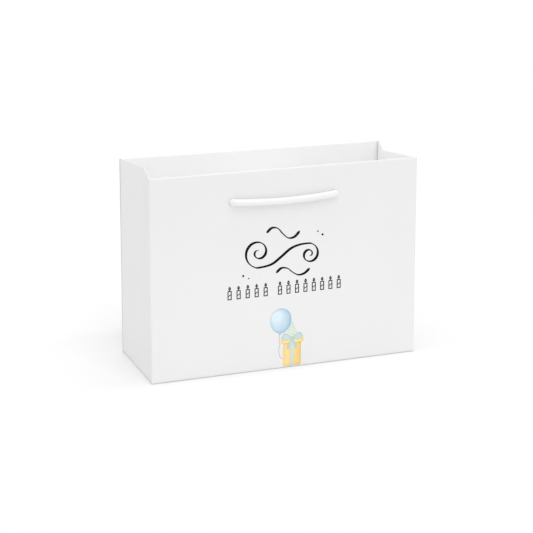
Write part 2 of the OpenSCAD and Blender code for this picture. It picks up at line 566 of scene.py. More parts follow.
@dataclass(frozen=True)
class PaperFinish:
    """A paper or board finish.

    Args:
        name: the material's name.
        tint: colour of the sheet.
        fibre_tint: colour of its darker fibres.
        fibre_scale: how fine the grain is.
        fleck: how much the fibres show.
        roughness: surface roughness.
        bump: depth of the grain, in metres.
        sheen_gloss: specular level.
        coat: weight of a laminated film over the sheet.
    """

    name: str
    tint: Colour
    fibre_tint: Colour
    fibre_scale: float = 900
    fleck: float = 0.1
    roughness: float = 0.5
    bump: float = 0.00002
    sheen_gloss: float = 0.4
    coat: float = 0.0

    def build(self, effects: SharedEffects) -> bpy.types.Material:
        """Builds the material."""
        material, s, bsdf = new_material(self.name, self.tint)
        grain = s.add("ShaderNodeGroup", node_tree=effects.grain)
        preset(grain, {"Tint": self.tint, "Fibre Tint": self.fibre_tint, "Fibre Scale": self.fibre_scale,
                       "Fleck": self.fleck, "Roughness": self.roughness})
        height = grain.outputs["Height"]
        bump = s.add("ShaderNodeBump", {"Height": height, "Strength": 0.5, "Distance": self.bump})
        links = material.node_tree.links
        links.new(grain.outputs["Color"], bsdf.inputs["Base Color"])
        links.new(grain.outputs["Roughness"], bsdf.inputs["Roughness"])
        links.new(bump.outputs["Normal"], bsdf.inputs["Normal"])
        preset(bsdf, {"Specular IOR Level": self.sheen_gloss, "Coat Weight": self.coat,
                      "Coat Roughness": 0.42})
        return material


@dataclass(frozen=True)
class RopeFinish:
    """Soft braided rope: it reads the braid's height, which the rope's own tree stores on its surface, and
    colours the low places between the strands darker as painted shade.

    Args:
        name: the material's name.
        crown: colour of the strands' crowns.
        groove: colour between the strands.
    """

    name: str = "white braided rope"
    crown: Colour = srgb(240, 240, 240)
    groove: Colour = srgb(226, 226, 226)

    def build(self, effects: SharedEffects) -> bpy.types.Material:
        """Builds the material."""
        material, s, bsdf = new_material(self.name, self.crown)
        braid = s.add("ShaderNodeAttribute", attribute_name="braid").outputs["Fac"]
        place = s.add("ShaderNodeTexCoord").outputs["Object"]
        lint = s.add("ShaderNodeTexNoise", {"Vector": place, "Scale": 2600.0, "Detail": 3.0,
                                            "Roughness": 0.7})
        crown = s.math("POWER", braid, 0.55)
        fuzz = s.math("MULTIPLY", s.math("SUBTRACT", lint.outputs["Fac"], 0.5), 0.3)
        share = s.math("ADD", crown, fuzz, clamp=True)
        height = s.math("ADD", s.math("MULTIPLY", braid, 0.4), lint.outputs["Fac"])
        bump = s.add("ShaderNodeBump", {"Height": height, "Strength": 0.35, "Distance": 0.00008})
        links = material.node_tree.links
        # Painted shade: the colour darkens from the crown colour into the low places between the strands.
        links.new(s.mix(share, self.groove, self.crown), bsdf.inputs["Base Color"])
        links.new(bump.outputs["Normal"], bsdf.inputs["Normal"])
        preset(bsdf, {"Roughness": 0.62, "Specular IOR Level": 0.35, "Sheen Weight": 0.35,
                      "Sheen Roughness": 0.5})
        return material


@dataclass(frozen=True)
class WashFinish:
    """A printed watercolour wash, which reads the tone stored on its film.

    Args:
        name: the material's name.
        pale: colour where the wash is thin.
        deep: colour where the pigment settled.
        bloom: how blotchy the wash is.
        gloss: specular level of the print.
        bounce: colour that the print passes on to what it lights, which is mostly the paper's.
    """

    name: str
    pale: Colour
    deep: Colour
    bloom: float = 0.4
    gloss: float = 0.35
    bounce: Colour = srgb(233, 233, 233)

    def build(self, effects: SharedEffects) -> bpy.types.Material:
        """Builds the material."""
        material, s, bsdf = new_material(self.name, self.pale)
        tone = s.add("ShaderNodeAttribute", attribute_name="tone").outputs["Fac"]
        wash = s.add("ShaderNodeGroup", node_tree=effects.pigment)
        preset(wash, {"Pale": self.pale, "Deep": self.deep, "Bloom": self.bloom})
        links = material.node_tree.links
        links.new(tone, wash.inputs["Tone"])
        passed_on = s.add("ShaderNodeLightPath").outputs["Is Diffuse Ray"]
        links.new(s.mix(passed_on, wash.outputs["Color"], self.bounce), bsdf.inputs["Base Color"])
        preset(bsdf, {"Roughness": 0.5, "Specular IOR Level": self.gloss})
        return material


@dataclass(frozen=True)
class Finishes:
    """Every material of the bag."""

    outer: bpy.types.Material
    inner: bpy.types.Material
    board: bpy.types.Material
    card: bpy.types.Material
    rope: bpy.types.Material
    ink: bpy.types.Material
    blue: bpy.types.Material
    mint: bpy.types.Material
    honey: bpy.types.Material
    bow: bpy.types.Material
    thread: bpy.types.Material

    @classmethod
    def build(cls) -> "Finishes":
        """Builds the shared effects and then each material."""
        fx = SharedEffects()
        white = PaperFinish("matt laminated paper", srgb(233, 233, 233), srgb(207, 207, 209),
                            roughness=0.46, coat=0.12, fleck=0.12)
        # Painted light: the inner paper is tinted whiter than the outer paper so that the dim inside of the
        # bag and its inner flaps come out bright; its rougher, less glossy finish is the paper's own.
        plain = PaperFinish("uncoated paper", srgb(247, 247, 247), srgb(222, 222, 222),
                            fibre_scale=620, fleck=0.2, roughness=0.72, bump=0.00004, sheen_gloss=0.25)
        board = PaperFinish("grey board", srgb(176, 173, 166), srgb(120, 117, 110),
                            fibre_scale=380, fleck=0.5, roughness=0.85, bump=0.00008, sheen_gloss=0.2)
        card = PaperFinish("white lined card", srgb(238, 238, 236), srgb(200, 199, 195),
                           fibre_scale=480, fleck=0.25, roughness=0.75, bump=0.00005, sheen_gloss=0.25)
        return cls(
            outer=white.build(fx), inner=plain.build(fx), board=board.build(fx), card=card.build(fx),
            rope=RopeFinish().build(fx),
            ink=WashFinish("dark print ink", srgb(34, 14, 20), srgb(20, 8, 12), 0.5, gloss=0.08).build(fx),
            blue=WashFinish("pale blue wash", srgb(224, 239, 246), srgb(154, 191, 216)).build(fx),
            mint=WashFinish("pale mint wash", srgb(232, 240, 228), srgb(178, 206, 192)).build(fx),
            honey=WashFinish("honey wash", srgb(253, 229, 158), srgb(226, 178, 96)).build(fx),
            bow=WashFinish("mint blue wash", srgb(210, 228, 226), srgb(146, 186, 190)).build(fx),
            thread=WashFinish("thread ink", srgb(206, 188, 180), srgb(160, 140, 134)).build(fx),
        )


# ---------------------------------------------------------------- paper


@dataclass
class WallSheet:
    """A wide panel with its turned-in rim, in one closed piece with punched rope holes.

    Args:
        form: the bag's shape.
        wall: which panel.
        holes: places of the rope holes.
        hole_r: their radius.
    """

    form: BagForm
    wall: Wall
    holes: list[Vector]
    hole_r: float

    def thickness(self, x: np.ndarray, z: np.ndarray) -> np.ndarray:
        """Thickness of the sheet: paper alone, then paper, board and turn-in towards the rim."""
        form = self.form
        foot = form.height - form.turn_in
        folded = form.paper * ease(z, foot - 0.1 * MM, foot + 0.25 * MM)
        board = form.board * ease(z, foot + 1 * MM, foot + 6.5 * MM)
        inset = ease(form.half_w - np.abs(x), 0.5 * MM, form.edge_inset)
        return form.paper + (folded + board) * inset

    def outer_depth(self, x: np.ndarray, z: np.ndarray) -> np.ndarray:
        """Distance of the outer face from the middle plane, rounded at the corner and foot creases."""
        radius = self.form.crease_r
        past = np.clip(np.abs(x) - (self.form.half_w - radius), 0, radius)
        corner = radius - np.sqrt(radius**2 - past**2)
        return self.form.wall_depth(self.wall, x, z) - np.maximum(corner, self.form.foot_roll(z))

    def build(self, material: bpy.types.Material, lining: bpy.types.Material) -> bpy.types.Object:
        """Builds the sheet, punches it and puts it on its wall's body."""
        form, sign = self.form, self.wall.value
        corner = form.half_w - form.crease_r * (1 - np.sin(np.radians([90, 65, 40, 15])))
        middle = np.linspace(-form.half_w + 3 * MM, form.half_w - 3 * MM, 82)
        beside = form.half_w - 1.6 * MM
        columns = np.concatenate([-corner, [-beside], middle, [beside], corner[::-1]])
        x, z = np.meshgrid(columns, rim_rows(form), indexing="ij")
        depth = self.outer_depth(x, z)
        outer = np.stack([x, sign * depth, z], axis=-1)
        inner = np.stack([x, sign * (depth - self.thickness(x, z)), z], axis=-1)
        roll_out, roll_in = [], []
        rim = np.full_like(columns, form.height)
        half = self.thickness(columns, rim) / 2
        spine = self.outer_depth(columns, rim) - half
        for angle in rounded_top():
            level = form.height - half + half * math.sin(angle)
            reach = half * math.cos(angle)
            roll_out.append(np.stack([columns, sign * (spine + reach), level], axis=-1))
            roll_in.append(np.stack([columns, sign * (spine - reach), level], axis=-1))
        outer = np.concatenate([outer, np.stack(roll_out, axis=1)], axis=1)
        inner = np.concatenate([inner, np.stack(roll_in, axis=1)], axis=1)
        piece = sheet_solid(f"{self.wall.title}_sheet", outer, inner)
        bore(piece, self.holes, self.hole_r)
        smoothed(piece.data, 35)
        paint(piece, material)
        line_inside(piece, Vector((0, sign, 0)), lining)
        title = self.wall.title
        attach(piece, self.wall.body)
        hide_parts(f"{title}_panel", f"{title}_turn_in",
                    *(["seam_flap"] if self.wall is Wall.BACK else []))
        return piece


@dataclass
class StiffBoard:
    """The stiffening board under a wall's turned-in rim, which the folded paper hides.

    Args:
        form: the bag's shape.
        wall: the wall that it stiffens.
        holes: places of the rope holes.
        hole_r: radius of its own, wider holes.
        slack: gap to the paper on each side.
    """

    form: BagForm
    wall: Wall
    holes: list[Vector]
    hole_r: float
    slack: float = 0.03 * MM

    def build(self, material: bpy.types.Material) -> bpy.types.Object:
        """Builds the board between its wall's two layers of paper."""
        form, sign = self.form, self.wall.value
        columns = np.linspace(-form.half_w + 3.4 * MM, form.half_w - 3.4 * MM, 70)
        rows = np.linspace(form.height - form.board_h + 0.8 * MM, form.height - 1.2 * MM, 24)
        x, z = np.meshgrid(columns, rows, indexing="ij")
        face = form.wall_depth(self.wall, x, z) - form.paper - self.slack
        outer = np.stack([x, sign * face, z], axis=-1)
        inner = np.stack([x, sign * (face - form.board + 2 * self.slack), z], axis=-1)
        piece = sheet_solid(f"{self.wall.title}_stiff_board", outer, inner)
        bore(piece, self.holes, self.hole_r)
        paint(piece, material)
        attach(piece, self.wall.body)
        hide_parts(f"{self.wall.title}_board")
        return piece


@dataclass
class SeamFlap:
    """The glued flap of the side seam, behind the back panel's left edge.

    Args:
        form: the bag's shape.
        width: width of the flap.
    """

    form: BagForm
    width: float = 18 * MM

    def build(self, material: bpy.types.Material) -> bpy.types.Object:
        """Builds the flap as a thin strip with a feathered edge."""
        form = self.form
        columns = -form.half_w + np.linspace(0.8 * MM, self.width, 10)
        rows = np.linspace(1 * MM, form.height - form.turn_in - 1 * MM, 60)
        x, z = np.meshgrid(columns, rows, indexing="ij")
        base = form.wall_depth(Wall.BACK, x, z) - form.paper
        taper = 1 - 0.75 * ease(x, columns[-1] - 1.5 * MM, columns[-1])
        outer = np.stack([x, base + 0.02 * MM, z], axis=-1)
        inner = np.stack([x, base - form.paper * taper, z], axis=-1)
        piece = sheet_solid("seam_strip", outer, inner)
        paint(piece, material)
        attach(piece, "back_wall")
        return piece


@dataclass
class GussetHalf:
    """Half of a gusset, from its corner crease to its middle crease, with its half of the foot triangle.

    Args:
        form: the bag's shape.
        end: the gusset's end.
        wall: the wall that the half joins.
    """

    form: BagForm
    end: End
    wall: Wall

    def build(self, material: bpy.types.Material, lining: bpy.types.Material) -> bpy.types.Object:
        """Builds the half and bends it between its wall and the base."""
        form, sx, sy = self.form, self.end.value, self.wall.value
        share = np.concatenate([np.linspace(0, 0.94, 38), np.linspace(0.955, 1, 6)])
        rows = rim_rows(form)
        foot = form.height - form.turn_in
        flap = form.paper * (1 + ease(rows, foot - 0.1 * MM, foot + 0.25 * MM))
        s, z = np.meshgrid(share, rows, indexing="ij")
        corner = form.wall_depth(self.wall, sx * form.half_w, z) - form.crease_r
        y = sy * corner * (1 - s)
        fold = form.gusset_fold(self.end, y, z)
        outer = np.stack([sx * (form.half_w - fold), y, z], axis=-1)
        inner = np.stack([sx * (form.half_w - fold - flap[None, :]), y, z], axis=-1)
        half = form.paper
        roll_out, roll_in = [], []
        for angle in rounded_top():
            turned_out, turned_in = outer[:, -1].copy(), inner[:, -1].copy()
            turned_out[:, 0] -= sx * half * (1 - math.cos(angle))
            turned_in[:, 0] += sx * half * (1 - math.cos(angle))
            turned_out[:, 2] = turned_in[:, 2] = form.height - half + half * math.sin(angle)
            roll_out.append(turned_out)
            roll_in.append(turned_in)
        outer = np.concatenate([outer, np.stack(roll_out, axis=1)], axis=1)
        inner = np.concatenate([inner, np.stack(roll_in, axis=1)], axis=1)
        title, side = self.end.title, self.wall.side
        piece = sheet_solid(f"{title}_gusset_{side}_half", outer, inner)
        paint(piece, material)
        line_inside(piece, Vector((sx, 0, 0)), lining)
        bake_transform(piece)
        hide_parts(f"{title}_gusset_{side}", f"{title}_gusset_foot", f"{title}_turn_in")
        return piece


@dataclass
class BaseFolds:
    """The four folded flaps of the base.

    Args:
        form: the bag's shape.
        lap: how far each long flap reaches past the middle.
        short_reach: length of the short flaps.
    """

    form: BagForm
    lap: float = 8 * MM
    short_reach: float = 45 * MM

    def _long(self, wall: Wall, lift: float) -> bpy.types.Object:
        """A long flap, mitred at its ends; lift raises its lap over the other flap."""
        form, sy = self.form, wall.value
        edge = form.half_d - form.base_inset
        flat = np.linspace(edge, self.lap + 1.2 * MM, 18)
        along = np.concatenate([flat, np.linspace(self.lap + 0.8 * MM, -self.lap, 12)])
        half_x = form.half_w - form.base_inset - np.minimum(edge - along, edge)
        share = np.linspace(-1, 1, 60)
        s, y = np.meshgrid(share, along, indexing="ij")
        x = s * half_x[None, :]
        ripple = 0.03 * MM * np.sin(x / (23 * MM)) ** 2
        under = lift * (1 - ease(y, self.lap, self.lap + 1.4 * MM)) + ripple
        return sheet_solid(
            f"base_{wall.side}_fold",
            np.stack([x, sy * y, under], axis=-1), np.stack([x, sy * y, under + form.paper], axis=-1),
        )

    def _short(self, end: End) -> bpy.types.Object:
        """A short flap, tapered, on top of the long ones."""
        form, sx = self.form, end.value
        out = form.half_w - form.base_inset
        reach = np.linspace(0, self.short_reach, 20)
        half_y = form.half_d - form.base_inset - reach / 3
        s, r = np.meshgrid(np.linspace(-1, 1, 30), reach, indexing="ij")
        x, y = sx * (out - r), s * half_y[None, :]
        under = np.full_like(x, 2 * form.paper)
        return sheet_solid(
            f"base_{end.title}_fold",
            np.stack([x, y, under], axis=-1), np.stack([x, y, under + form.paper * 0.95], axis=-1),
        )

    def build(self, finishes: Finishes) -> list[bpy.types.Object]:
        """Builds the flaps, which ride on the base."""
        made = [
            (self._long(Wall.FRONT, 0), "base_front_flap", finishes.outer, "outer_paper"),
            (self._long(Wall.BACK, self.form.paper), "base_rear_flap", finishes.outer, "outer_paper"),
            (self._short(End.LEFT), "base_left_flap", finishes.inner, "inner_paper"),
            (self._short(End.RIGHT), "base_right_flap", finishes.inner, "inner_paper"),
        ]
        for piece, node, material, slot in made:
            paint(piece, material)
            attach(piece, "root")
            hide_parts(node)
        return [piece for piece, *_ in made]


@dataclass
class LooseCard:
    """The loose card that stiffens the base, with soft corners and a slight bow.

    Args:
        corner_r: radius of its corners.
        bow: how far its middle stands up.
    """

    corner_r: float = 3 * MM
    bow: float = 0.35 * MM

    def build(self, material: bpy.types.Material) -> bpy.types.Object:
        """Builds the card in its CAD node's box."""
        low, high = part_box("base_card")
        half = (high - low) / 2
        middle = (high + low) / 2
        card = bmesh.new()
        bmesh.ops.create_grid(card, x_segments=48, y_segments=16, size=1)
        for vert in card.verts:
            vert.co.x *= half.x
            vert.co.y *= half.y
            past_x = max(0.0, abs(vert.co.x) - (half.x - self.corner_r))
            past_y = max(0.0, abs(vert.co.y) - (half.y - self.corner_r))
            over = math.hypot(past_x, past_y)
            if over > self.corner_r and past_x > 0 and past_y > 0:
                vert.co.x -= math.copysign(past_x * (1 - self.corner_r / over), vert.co.x)
                vert.co.y -= math.copysign(past_y * (1 - self.corner_r / over), vert.co.y)
        piece = linked("loose_card", ())
        card.to_mesh(piece.data)
        card.free()
        solid = piece.modifiers.new("board", "SOLIDIFY")
        solid.thickness, solid.offset = 2 * half.z, 0
        bevel = piece.modifiers.new("worn edge", "BEVEL")
        bevel.width, bevel.segments, bevel.limit_method = 0.2 * MM, 2, "ANGLE"
        applied(piece)
        for vert in piece.data.vertices:
            across = math.cos(math.pi * vert.co.x / (2 * half.x))
            sag = self.bow * across * math.cos(math.pi * vert.co.y / (2 * half.y))
            vert.co += Vector((middle.x, middle.y, middle.z + sag))
        smoothed(piece.data, 40)
        paint(piece, material)
        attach(piece, "card")
        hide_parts("base_card")
        return piece


# ---------------------------------------------------------------- ropes


@dataclass(frozen=True)
class BraidLook:
    """The pattern of a braided rope's surface.

    Args:
        strands: plaited strands in each direction round the rope.
        lay: length in which one strand goes once round.
        relief: height of the strands.
        sides: sides of the tube.
        step: spacing of its rings.
    """

    strands: int = 8
    lay: float = 22 * MM
    relief: float = 0.07 * MM
    sides: int = 48
    step: float = 0.5 * MM


class RopeTree:
    """A Geometry Nodes tree that turns a route of edges into a braided rope."""

    def __init__(self, look: BraidLook) -> None:
        """Builds the tree."""
        self.look = look
        self.tree, self.sockets = geometry_tree(
            "braided rope",
            {"Radius": "Float", "Relief": "Float", "Lay": "Float", "Strands": "Int", "Sides": "Int",
             "Step": "Float", "Material": "Material"},
        )
        self._nodes()

    def _nodes(self) -> None:
        """Adds the nodes: resampled route, round profile, braid height, relief."""
        s = Shader(self.tree)
        given = s.add("NodeGroupInput").outputs
        out = s.add("NodeGroupOutput")
        route = s.add("GeometryNodeMeshToCurve", {"Mesh": given["Geometry"]})
        even = s.add("GeometryNodeResampleCurve", {"Curve": route.outputs["Curve"],
                                                   "Length": given["Step"]}, mode="LENGTH")
        along = s.add("GeometryNodeCaptureAttribute", {"Geometry": even.outputs["Curve"]}, domain="POINT")
        along.capture_items.new("FLOAT", "Along")
        s.tree.links.new(s.add("GeometryNodeSplineParameter").outputs["Length"], along.inputs["Along"])
        circle = s.add("GeometryNodeCurvePrimitiveCircle", {"Resolution": given["Sides"],
                                                            "Radius": given["Radius"]})
        round_ = s.add("GeometryNodeCaptureAttribute", {"Geometry": circle.outputs["Curve"]}, domain="POINT")
        round_.capture_items.new("FLOAT", "Turn")
        s.tree.links.new(s.add("GeometryNodeSplineParameter").outputs["Factor"], round_.inputs["Turn"])
        tube = s.add("GeometryNodeCurveToMesh", {"Curve": along.outputs["Geometry"],
                                                 "Profile Curve": round_.outputs["Geometry"],
                                                 "Fill Caps": True})
        turn = s.math("MULTIPLY", round_.outputs["Turn"], 2 * math.pi)
        lap = s.math("MULTIPLY", s.math("DIVIDE", along.outputs["Along"], given["Lay"]), 2 * math.pi)
        one_way = s.math("MULTIPLY", s.math("ADD", turn, lap), given["Strands"])
        other_way = s.math("MULTIPLY", s.math("SUBTRACT", turn, lap), given["Strands"])
        weave = s.math("MULTIPLY", s.math("COSINE", s.math("MULTIPLY", one_way, 0.5)),
                       s.math("COSINE", s.math("MULTIPLY", other_way, 0.5)))
        braid = s.math("SQRT", s.math("ABSOLUTE", weave))
        stored = s.add("GeometryNodeStoreNamedAttribute", {"Geometry": tube.outputs["Mesh"], "Name": "braid",
                                                           "Value": braid}, data_type="FLOAT", domain="POINT")
        lift = s.math("MULTIPLY", s.math("SUBTRACT", braid, 0.6), given["Relief"])
        normal = s.add("GeometryNodeInputNormal").outputs["Normal"]
        offset = s.add("ShaderNodeVectorMath", {0: normal}, operation="SCALE")
        s.tree.links.new(lift, offset.inputs["Scale"])
        raised = s.add("GeometryNodeSetPosition", {"Geometry": stored.outputs["Geometry"],
                                                   "Offset": offset.outputs["Vector"]})
        real = s.add("GeometryNodeRealizeInstances", {"Geometry": raised.outputs["Geometry"]})
        done = s.add("GeometryNodeSetMaterial", {"Geometry": real.outputs["Geometry"],
                                                 "Material": given["Material"]})
        s.tree.links.new(done.outputs["Geometry"], out.inputs["Geometry"])

    def make(
        self, name: str, route: Sequence[Vector], diameter: float, material: bpy.types.Material
    ) -> bpy.types.Object:
        """Makes one rope along a route.

        Args:
            name: the object's name.
            route: points of the rope's centre line.
            diameter: the rope's diameter.
            material: the rope's finish.

        Returns:
            The rope as plain mesh.
        """
        piece = linked(name, route, [(i, i + 1) for i in range(len(route) - 1)])
        look = self.look
        values = {"Radius": diameter / 2, "Relief": look.relief, "Lay": look.lay, "Strands": look.strands,
                  "Sides": look.sides, "Step": look.step, "Material": material}
        grown(piece, self.tree, {self.sockets[title]: value for title, value in values.items()})
        cleaned(piece.data)
        smoothed(piece.data, 50)
        paint(piece, material)
        return piece


def arc(centre: Vector, start: Vector, finish: Vector, steps: int = 12) -> list[Vector]:
    """A quarter circle from centre + start to centre + finish, without its first point."""
    angles = (math.pi / 2 * (k + 1) / steps for k in range(steps))
    return [centre + start * math.cos(a) + finish * math.sin(a) for a in angles]


def smooth_route(points: Sequence[Vector], step: float) -> list[Vector]:
    """A smooth curve through points, as points about a step apart."""
    ends = [2 * points[0] - points[1], *points, 2 * points[-1] - points[-2]]
    route = [points[0]]
    for i in range(1, len(ends) - 2):
        before, here, there, after = ends[i - 1 : i + 3]
        count = max(2, int((there - here).length / step))
        for k in range(1, count + 1):
            t = k / count
            square = (2 * before - 5 * here + 4 * there - after) * t**2
            cube = (3 * here - before - 3 * there + after) * t**3
            route.append(0.5 * (2 * here + (there - before) * t + square + cube))
    return route


@dataclass
class RopeHandle:
    """One rope handle: its outer stretch, its two hanging ends and their knots.

    Args:
        form: the bag's shape.
        wall: the wall that it hangs on.
        tree: the tree that makes the ropes.
        material: the rope's finish.
        radius: radius of the rope.
        travel: how far the ends rise when the handle is pulled; not used.
        inner_turn: radius of the turn inside each hole.
        face_gap: gap between the outer stretch and the panel.
        hang_in: distance of the hanging ends inside the outer face.
    """

    form: BagForm
    wall: Wall
    tree: RopeTree
    material: bpy.types.Material
    radius: float = 3 * MM
    travel: float = 90 * MM
    inner_turn: float = 5 * MM
    face_gap: float = 0.35 * MM
    hang_in: float = 9.1 * MM

    def __post_init__(self) -> None:
        """Reads the rope's places off the CAD nodes."""
        low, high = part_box(f"{self.wall.title}_cord_tails")
        knot_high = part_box(f"{self.wall.title}_knots")[1]
        grip_low, grip_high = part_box(f"{self.wall.title}_cord_grip")
        self.hole_x = (low.x + self.radius, high.x - self.radius)
        self.hole_z = grip_high.z - self.radius
        self.sag = grip_high.z - grip_low.z - 2 * self.radius
        self.knot_top = knot_high.z
        self.slope = Vector((0, -self.wall.value * 0.02222, 0.99975)).normalized()

    def at(self, x: float, z: float, out: float) -> Vector:
        """A point at a distance outside the wall's outer face."""
        return Vector((x, self.wall.value * (float(self.form.wall_depth(self.wall, x, z)) + out), z))

    def hole(self, x: float) -> Vector:
        """The middle of a hole, on the outer face."""
        return self.at(x, self.hole_z, 0)

    def turn_through(self, x: float, side: int) -> list[Vector]:
        """Centre line from inside a hole, out through it and round towards the other hole."""
        turn = self.radius + 0.25 * MM
        out, across = Vector((0, self.wall.value, 0)), Vector((side, 0, 0))
        up = Vector((0, 0, self.inner_turn))
        hole = self.hole(x)
        inside = hole - out * (self.hang_in - self.inner_turn)
        elbow = inside - up
        route = [elbow - out * self.inner_turn]
        route += arc(elbow, -out * self.inner_turn, up)
        straight_end = hole + out * (self.radius + self.face_gap - turn)
        route += [inside.lerp(straight_end, k / 6) for k in range(1, 7)]
        return route + arc(straight_end + across * turn, -across * turn, out * turn)

    def grip_route(self) -> list[Vector]:
        """Centre line from inside one hole, along the face, to inside the other hole."""
        left, right = self.turn_through(self.hole_x[0], 1), self.turn_through(self.hole_x[1], -1)
        first, last = left[-1], right[-1]
        bar = []
        for k in range(1, 60):
            t = k / 60
            sagged = self.hole_z - self.sag * (1 - (2 * t - 1) ** 2)
            bar.append(self.at(first.x + (last.x - first.x) * t, sagged, self.radius + self.face_gap))
        return left + bar + right[::-1]

    def build_grip(self) -> bpy.types.Object:
        """Builds the outer stretch as a fixed piece in world space."""
        title = self.wall.title
        route = self.grip_route()
        piece = self.tree.make(f"{title}_rope", route, 2 * self.radius - 0.1 * MM, self.material)
        holes = [self.hole(x) for x in self.hole_x]
        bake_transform(piece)
        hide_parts(f"{title}_cord_grip")
        return piece

    def knot_route(self, top: Vector) -> list[Vector]:
        """Centre line of a pulled knot: down, once and a quarter round itself, and out below."""
        spread, height, core = 3.95 * MM, 8.6 * MM, 1.1 * MM
        points = [Vector((0, 0, 1.0 * MM)), Vector((0, 0, -1.2 * MM)),
                  Vector((-core, -core * 0.6, -4.5 * MM)), Vector((-core, -core, -7.5 * MM)),
                  Vector((-2.4 * MM, 1.2 * MM, -10.6 * MM))]
        for k in range(15):
            turn = math.radians(120 - 30 * k)
            rise = -11.2 * MM + height * k / 14
            points.append(Vector((spread * math.cos(turn), spread * math.sin(turn), rise)))
        points += [Vector((core * 1.4, core * 1.2, -4.6 * MM)), Vector((core, core, -9.0 * MM)),
                   Vector((core * 0.6, core * 0.4, -14.5 * MM)), Vector((0.2 * MM, 0.6 * MM, -19.6 * MM))]
        return [top + p for p in smooth_route(points, 0.8 * MM)]

    def build_end(self, index: int) -> list[bpy.types.Object]:
        """Builds one hanging end and its knot."""
        title, x = self.wall.title, self.hole_x[index]
        out = Vector((0, self.wall.value, 0))
        head = self.hole(x) - out * self.hang_in - Vector((0, 0, self.inner_turn))
        drop_to = self.knot_top + 0.5 * MM
        foot = head - self.slope * ((head.z - drop_to) / self.slope.z)
        route = [head.lerp(foot, k / 60) for k in range(61)]
        name = f"{title}_{'left' if index == 0 else 'right'}"
        tail = self.tree.make(f"{name}_hanging_rope", route, 2 * self.radius - 0.1 * MM, self.material)
        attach(tail, f"{title}_wall")
        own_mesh(tail)
        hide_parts(f"{title}_cord_tails")
        wound = 2 * self.radius - 0.3 * MM
        knot = self.tree.make(f"{name}_knot", self.knot_route(foot), wound, self.material)
        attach(knot, f"{title}_ends")
        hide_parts(f"{title}_knots")
        return [tail, knot]

    def build(self) -> list[bpy.types.Object]:
        """Builds the whole handle."""
        made = [self.build_grip()]
        for index in (0, 1):
            made += self.build_end(index)
        return made


# ---------------------------------------------------------------- printed artwork


@dataclass(frozen=True)
class Ink:
    """One printed film's place in the stack and its finish.

    Args:
        material: the film's finish.
        layer: how many films lie under it.
    """

    material: bpy.types.Material
    layer: int = 0


@dataclass
class PrintSurface:
    """Lays flat artwork, drawn in millimetres across and up the front panel, on it as thin closed films.

    Args:
        form: the bag's shape.
        lift: gap under the lowest film.
        thick: thickness of a film.
        step: how much higher each layer lies.
        left: how far the drawing sits to the left of the middle, in millimetres.
    """

    form: BagForm
    lift: float = 0.02 * MM
    thick: float = 0.04 * MM
    step: float = 0.03 * MM
    left: float = 1.0

    def place(self, point: Point2, out: float) -> tuple[float, float, float]:
        """A drawn point, at a distance outside the panel."""
        x, z = (point[0] - self.left) * MM, point[1] * MM
        return (x, -float(self.form.wall_depth(Wall.FRONT, x, z)) - out, z)

    def film(
        self, name: str, points: Sequence[Point2], faces: Sequence, tones: Sequence[float], ink: Ink
    ) -> bpy.types.Object:
        """Makes one closed film.

        Args:
            name: the film's name.
            points: drawn points, in millimetres.
            faces: faces between them.
            tones: pigment at each point, 0 thin to 1 deep.
            ink: its finish and layer.

        Returns:
            The film, riding on the front panel.
        """
        low = self.lift + self.step * ink.layer
        count = len(points)
        solid = [self.place(p, low + self.thick) for p in points] + [self.place(p, low) for p in points]
        edges: dict[tuple[int, int], tuple[int, int] | None] = {}
        for face in faces:
            for a, b in zip(face, (*face[1:], face[0])):
                key = (min(a, b), max(a, b))
                edges[key] = None if key in edges else (a, b)
        closed = [tuple(f) for f in faces] + [tuple(i + count for i in reversed(f)) for f in faces]
        closed += [(a, b, b + count, a + count) for a, b in (e for e in edges.values() if e)]
        piece = linked(name, solid, faces=closed)
        tone = piece.data.attributes.new("tone", "FLOAT", "POINT")
        tone.data.foreach_set("value", [float(np.clip(t, 0, 1)) for t in (*tones, *tones)])
        cleaned(piece.data, merge=False)
        paint(piece, ink.material)
        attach(piece, "front_wall")
        return piece

    def wash(
        self, name: str, centre: Point2, outline: Sequence[Point2], tone: Tone, ink: Ink, rings: int = 9
    ) -> bpy.types.Object:
        """Makes a filled wash out of rings that grow from its centre to its outline.

        Args:
            name: the film's name.
            centre: a drawn point from which the whole outline is in view.
            outline: the drawn outline.
            tone: pigment at a drawn point, from its place and its share of the way to the outline.
            ink: its finish and layer.
            rings: how many rings fill it.

        Returns:
            The film.
        """
        count = len(outline)
        points, tones = [centre], [tone(*centre, 0.0)]
        for k in range(1, rings + 1):
            share = (k / rings) ** 0.75
            for x, z in outline:
                spot = (centre[0] + (x - centre[0]) * share, centre[1] + (z - centre[1]) * share)
                points.append(spot)
                tones.append(tone(*spot, share))
        faces = [(0, 1 + i, 1 + (i + 1) % count) for i in range(count)]
        for k in range(rings - 1):
            a, b = 1 + k * count, 1 + (k + 1) * count
            faces += [(a + i, b + i, b + (i + 1) % count, a + (i + 1) % count) for i in range(count)]
        return self.film(name, points, faces, tones, ink)

    def stroke(
        self, name: str, route: Sequence[Point2], width: Nib, ink: Ink, tone: float = 0.5
    ) -> bpy.types.Object:
        """Makes a pen stroke along a drawn line.

        Args:
            name: the film's name.
            route: the drawn line.
            width: its width, from the share of its length and its direction.
            ink: its finish and layer.
            tone: its pigment, 0 thin to 1 deep.

        Returns:
            The film.
        """
        path = np.array(route)
        steps = np.diff(path, axis=0)
        run = np.concatenate([[0], np.cumsum(np.hypot(*steps.T))])
        ahead = np.gradient(path, axis=0)
        ahead /= np.hypot(*ahead.T)[:, None]
        across = np.stack([-ahead[:, 1], ahead[:, 0]], axis=1)
        points, tones = [], []
        for i, spot in enumerate(path):
            half = width(run[i] / run[-1], math.atan2(ahead[i, 1], ahead[i, 0])) / 2
            points += [tuple(spot + across[i] * half), tuple(spot - across[i] * half)]
            tones += [tone, tone]
        faces = [(2 * i, 2 * i + 1, 2 * i + 3, 2 * i + 2) for i in range(len(path) - 1)]
        return self.film(name, points, faces, tones, ink)


